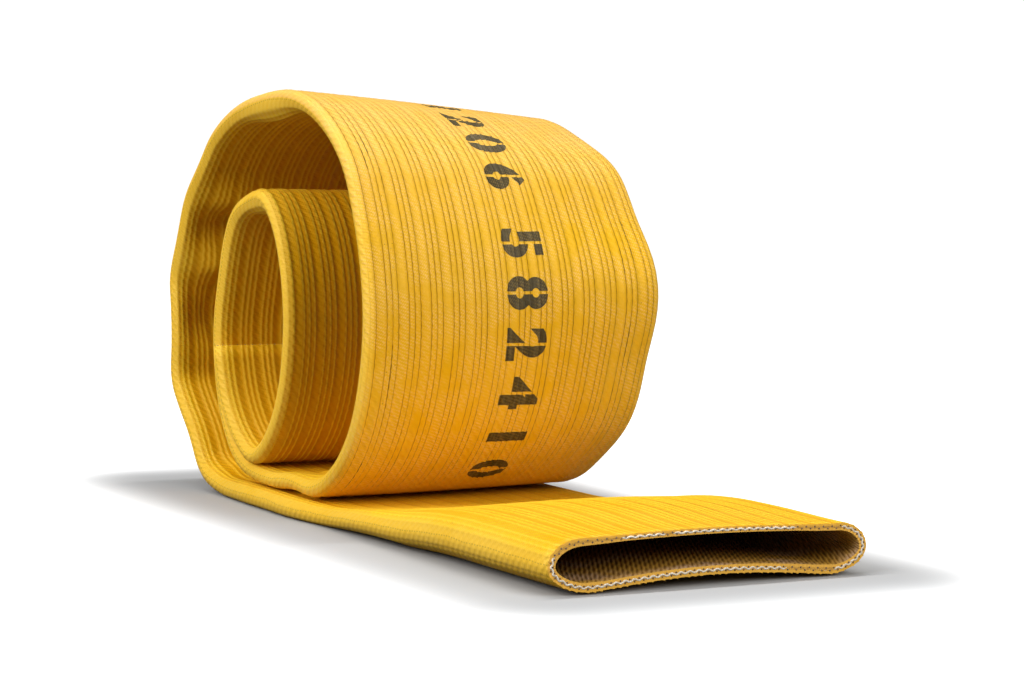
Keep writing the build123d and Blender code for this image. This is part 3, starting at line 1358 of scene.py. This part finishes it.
def glyph(digit):
    """One digit as a flat bmesh in the font's own units, centred, and its height."""
    curve = bpy.data.curves.new("digit", "FONT")
    curve.body = digit
    curve.offset = digit_fattened
    mesh = mesh_of(curve)
    bm = new_bmesh()
    bm.from_mesh(mesh)
    bpy.data.meshes.remove(mesh)
    places = np.array([vert.co for vert in bm.verts])
    low, high = places.min(axis=0), places.max(axis=0)
    for vert, place in zip(bm.verts, places - (low + high) / 2):
        vert.co = place
    return bm, (high - low)[1]


def cut_across(bm, axis, places):
    """Cuts a flat bmesh along straight lines at these places on one axis."""
    normal = Vector((axis == 0, axis == 1, 0))
    reach = max(abs(vert.co[axis]) for vert in bm.verts)
    for place in places:
        if abs(place) < reach - cut_margin:
            bmesh.ops.bisect_plane(
                bm, geom=bm.verts[:] + bm.edges[:] + bm.faces[:], dist=cut_touching,
                plane_co=normal * place, plane_no=normal,
            )


def cut_digit(bm, digit, middle, along_scale, across_scale):
    """Takes the stencil's bridge out of any digit but a 1, and cuts it along the cover's mesh."""
    bridge = bridge_width / 2 / along_scale
    if digit != "1":
        cut_across(bm, 0, (-bridge, bridge))
        gone = [face for face in bm.faces if abs(face.calc_center_median().x) < bridge]
        bmesh.ops.delete(bm, geom=gone, context="FACES")
    cut_across(bm, 0, (rings - middle) / along_scale)
    cut_across(bm, 1, (cover_columns[:, 0] - number_middle) / across_scale)
    bmesh.ops.remove_doubles(bm, verts=bm.verts, dist=digit_touching)


# %% Number
def add_digit(number_bm, digit, middle):
    """Lays one digit on the cover as a thin closed solid, and joins it to the number."""
    bm, height = glyph(digit)
    across_scale = digit_height / height
    along_scale = across_scale * digit_stretch
    cut_digit(bm, digit, middle, along_scale, across_scale)
    copied = bmesh.ops.extrude_face_region(bm, geom=bm.faces[:])["geom"]
    top = {item for item in copied if isinstance(item, bmesh.types.BMVert)}
    verts = bm.verts[:]
    along = middle + np.array([vert.co.x for vert in verts]) * along_scale
    around = number_middle + np.array([vert.co.y for vert in verts]) * across_scale
    ribbed = np.interp(around, cover_columns[:, 0], rib_height * (1 - rib_share))
    depth = ribbed + np.array([-ink_proud if vert in top else ink_sunk for vert in verts])
    place_verts(bm, verts, along, around, depth)
    mesh = bpy.data.meshes.new("digit")
    bm.to_mesh(mesh)
    bm.free()
    number_bm.from_mesh(mesh)
    bpy.data.meshes.remove(mesh)


number_bm = new_bmesh()
for digits, start, pitch in number_groups:
    for place, digit in enumerate(digits):
        add_digit(number_bm, digit, start + place * pitch)
shade_and_map(number_bm)
# the cuts leave the faces in another order each run, so they are put in order by their places
in_order = sorted(number_bm.faces, key=lambda face: face.calc_center_median()[:])
for number, face in enumerate(in_order):
    face.index = number
number_bm.faces.sort()
for edge in number_bm.edges:
    edge.smooth = edge.calc_face_angle(math.pi) < crisp_edge
number_print = finished_piece(number_bm, "number_print", number_ink)

# %% [markdown]

# %% [markdown]
# ## The floor
#
# A white studio floor is so bright that it fades into the background, and only the shadow close to
# the hose shows. The paint here does that: what the camera sees of it glows more the further it is
# from the hose, so the grey close round the hose is a painted shadow on top of the real one, and
# the light that it throws back on the hose is that of a dull grey floor.

# %% Floor
floor_half = 4
bounce_grey, seen_grey = (0.18, 0.18, 0.18, 1), (0.45, 0.455, 0.46, 1)
shadow_reach, shadow_fade = 0.05, 2.0


def vector_node(tree, operation, *values):
    """The outputs of a Vector Math node."""
    inputs = dict(enumerate(values))
    return add_node(tree, "ShaderNodeVectorMath", inputs, operation=operation).outputs


def away_from_hose(tree):
    """How far a spot of the floor is from the rectangle that the hose covers."""
    spot = add_node(tree, "ShaderNodeTexCoord").outputs["Object"]
    footprint = (cad_box[1].x, cad_box[1].y, 0)
    beside = vector_node(tree, "SUBTRACT", vector_node(tree, "ABSOLUTE", spot)[0], footprint)[0]
    beside = vector_node(tree, "MAXIMUM", beside, (0, 0, 0))[0]
    return vector_node(tree, "LENGTH", beside)["Value"]


def make_floor_paint():
    """White studio paint that only the camera sees glow."""
    material, tree, shader = new_material("floor_paint", roughness=0.9, specular=0.1)
    seen = add_node(tree, "ShaderNodeLightPath").outputs["Is Camera Ray"]
    paint = mix_colour(tree, seen, bounce_grey, seen_grey)
    tree.links.new(paint, shader.inputs["Base Color"])
    # the glow is weakest close to the hose, which paints a shadow round it
    glow = sum_node(tree, "POWER", ramp(tree, away_from_hose(tree), 0.0, shadow_reach), shadow_fade)
    shader.inputs["Emission Color"].default_value = (1, 1, 1, 1)
    tree.links.new(sum_node(tree, "MULTIPLY", seen, glow), shader.inputs["Emission Strength"])
    return material


floor_bm = bmesh.new()
bmesh.ops.create_grid(floor_bm, x_segments=1, y_segments=1, size=floor_half)
floor_mesh = bpy.data.meshes.new("floor")
floor_bm.to_mesh(floor_mesh)
floor_bm.free()
floor_mesh.materials.append(make_floor_paint())
floor = bpy.data.objects.new("floor", floor_mesh)
scene.collection.objects.link(floor)
print("floor", 2 * max(vertex.co.x for vertex in floor_mesh.vertices), "m wide")

# %% [markdown]
# ## The light
#
# A narrow strip high up on the near side lights the roll from above and leaves its inside in the
# shade. Two large soft lights fill the front and the side, and a dim white world fills the rest.
# The camera sees that world brighter, as a white backdrop.

# %% Light
world_light, world_seen = 0.13, 1.05
hose_middle = (0, 0, 0.07)

world = bpy.data.worlds.new("studio")
world.use_nodes = True
background = world.node_tree.nodes["Background"]
background.inputs["Color"].default_value = (1, 1, 1, 1)
seen = add_node(world.node_tree, "ShaderNodeLightPath").outputs["Is Camera Ray"]
strength = ramp(world.node_tree, seen, 0.0, 1.0, world_light, world_seen)
world.node_tree.links.new(strength, background.inputs["Strength"])
scene.world = world
scene.view_settings.view_transform = "Standard"


def add_area_light(name, place, target, size, power):
    """A soft light of two side lengths at a place, aimed at a target."""
    data = bpy.data.lights.new(name, "AREA")
    data.shape = "RECTANGLE"
    data.size, data.size_y = size
    data.energy = power
    light = bpy.data.objects.new(name, data)
    light.location = place
    light.rotation_euler = (Vector(target) - Vector(place)).to_track_quat("-Z", "Y").to_euler()
    scene.collection.objects.link(light)
    print(name, "gives", power, "W")


add_area_light("top_strip", (-0.13, -0.60, 1.5), (-0.13, -0.60, 0), (0.10, 2.8), 25)
add_area_light("front_fill", (1.26, 0.34, 0.76), hose_middle, (0.8, 0.8), 12.5)
add_area_light("side_fill", (0.30, -1.40, 0.80), hose_middle, (0.9, 0.9), 18)
